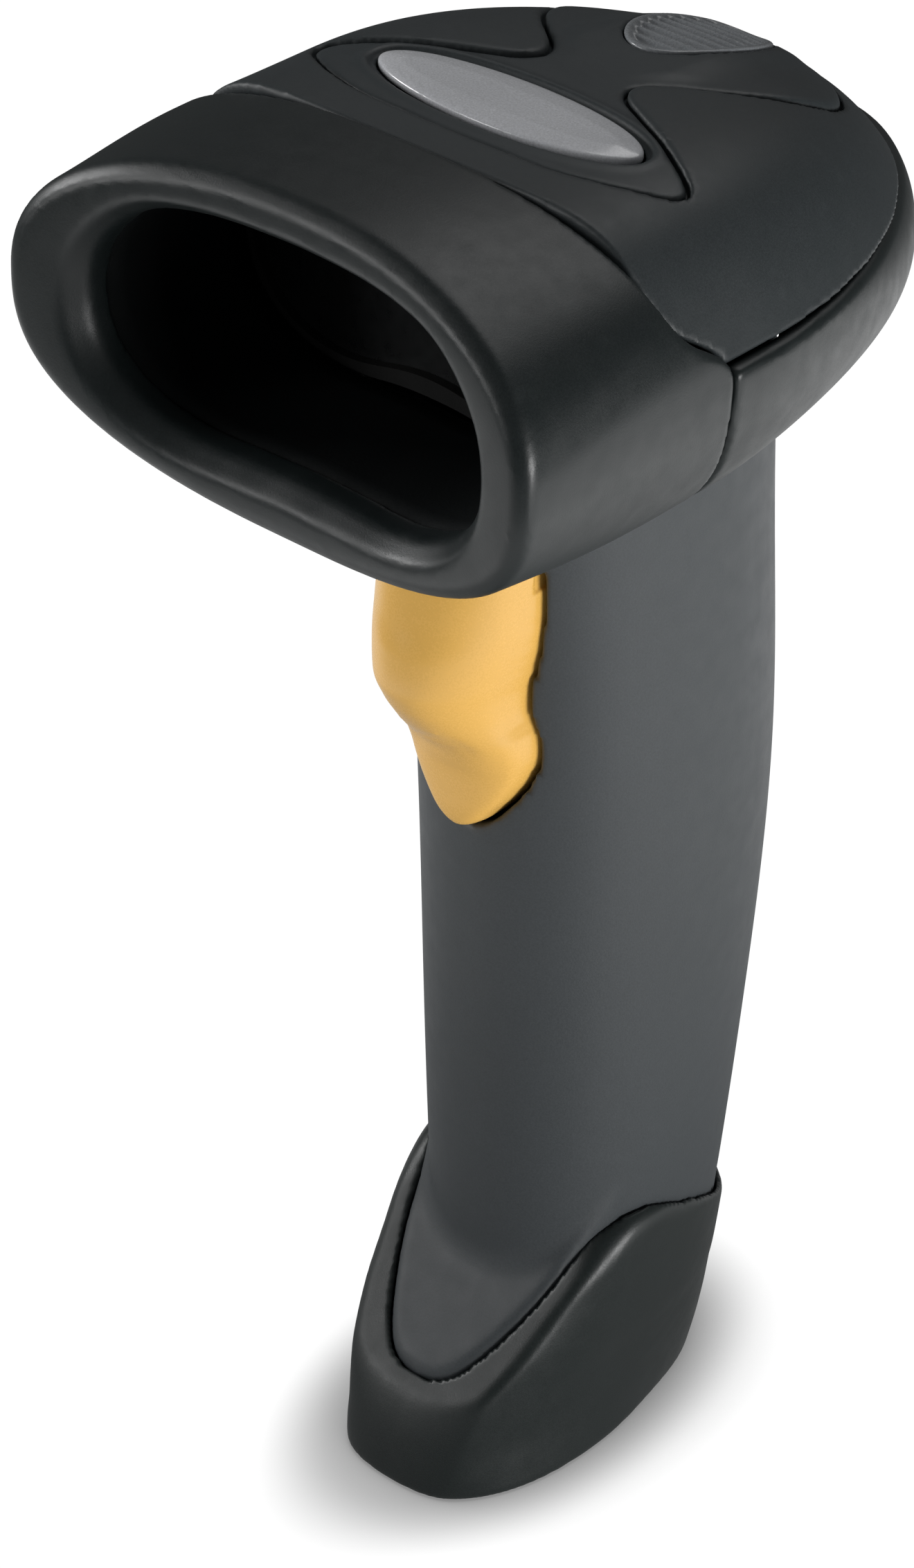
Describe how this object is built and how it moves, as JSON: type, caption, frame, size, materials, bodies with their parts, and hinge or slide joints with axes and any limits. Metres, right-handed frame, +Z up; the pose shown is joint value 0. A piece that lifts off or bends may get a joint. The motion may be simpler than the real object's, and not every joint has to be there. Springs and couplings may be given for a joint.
{
  "type": "handheld barcode scanner",
  "caption": "Upright hand scanner: rounded nose with a wide mouth, oval grip with finger trigger, splayed foot, scan engine, board and cable socket inside.",
  "frame": {"origin": "centre of the bounding box at the level of the flat foot", "axes": "+Z up; -Y the way the mouth faces; +X to the right when looking along +Y, which is the scanner's own left side when held"},
  "size_m": [0.0632, 0.084, 0.1521],
  "materials": {
    "nose_black": "satin moulded, fine spark-eroded grain",
    "band_black": "satin moulded, fine grain",
    "boot_black": "satin moulded, fine grain",
    "cover_grey": "matt moulded, fine grain",
    "panel_grey": "matt moulded, fine grain",
    "grip_grey": "matt moulded, fine grain",
    "trigger_amber": "satin moulded",
    "badge_silver": "clear domed resin over silver grey",
    "lens_smoke": "smoked translucent, ribbed",
    "window_tint": "dark red tinted, polished",
    "liner_black": "light-absorbing black, fine texture",
    "rubber_black": "matt",
    "inner_plastic": "as moulded",
    "zinc_cast": "as cast",
    "steel_pin": "ground",
    "screw_steel": "zinc plated",
    "brass_turned": "turned",
    "gold_contact": "gold flash",
    "clear_optic": "polished",
    "mirror_glass": "front surface coated",
    "filter_red": "polished",
    "magnet_dark": "nickel plated",
    "copper_wire": "enamelled winding",
    "board_green": "solder mask",
    "chip_black": "moulded package",
    "led_white": "clear domed",
    "ribbon_white": "film",
    "socket_clear": "moulded"
  },
  "bodies": {
    "housing": {"badge_plate": "badge_silver", "beeper": "chip_black", "board_header": "chip_black", "board_screws": "screw_steel", "boot_screws": "screw_steel", "cable_socket": "socket_clear", "collimating_lens": "clear_optic", "cover_panel": "panel_grey", "decoder_chip": "chip_black", "detector_board": "board_green", "drive_coil": "copper_wire", "engine_board": "board_green", "engine_carrier": "inner_plastic", "engine_chip": "chip_black", "engine_grommets": "rubber_black", "engine_screws": "screw_steel", "engine_tray": "zinc_cast", "exit_window": "window_tint", "foot_boot": "boot_black", "handle_front_shell": "grip_grey", "handle_rear_cover": "grip_grey", "indicator_board": "board_green", "indicator_leds": "led_white", "indicator_lens": "lens_smoke", "laser_barrel": "brass_turned", "light_pipe": "clear_optic", "main_board": "board_green", "memory_chip": "chip_black", "mirror_shaft": "steel_pin", "mouth_liner": "liner_black", "nose_bezel": "nose_black", "optical_filter": "filter_red", "photodiode": "chip_black", "rear_band": "band_black", "ribbon_cable": "ribbon_white", "ribbon_connector": "socket_clear", "socket_board": "board_green", "socket_contacts": "gold_contact", "top_cover": "cover_grey", "trigger_pivot_pin": "steel_pin", "trigger_switch": "chip_black", "window_gasket": "rubber_black"},
    "trigger": {"trigger": "trigger_amber", "return_spring": "steel_pin"},
    "plunger": {"switch_plunger": "inner_plastic"},
    "mirror": {"scan_mirror": "mirror_glass", "drive_magnet": "magnet_dark"}
  },
  "joints": [
    {"name": "trigger_pull", "type": "hinge", "parent": "housing", "child": "trigger", "pos_m": [0, -0.011, 0.11], "axis": [1, 0, 0], "range_deg": [0, 5]},
    {"name": "switch_press", "type": "slide", "parent": "housing", "child": "plunger", "axis": [0, 1, 0], "range_m": [0, 0.0016]},
    {"name": "mirror_swing", "type": "hinge", "parent": "housing", "child": "mirror", "pos_m": [-0.0046, -0.0024, 0.13], "axis": [0, 0, 1], "range_deg": [-12, 12]}
  ],
  "couplings": [
    {"joint": "switch_press", "follows": "trigger_pull", "m_per_rad": 0.0182}
  ]
}
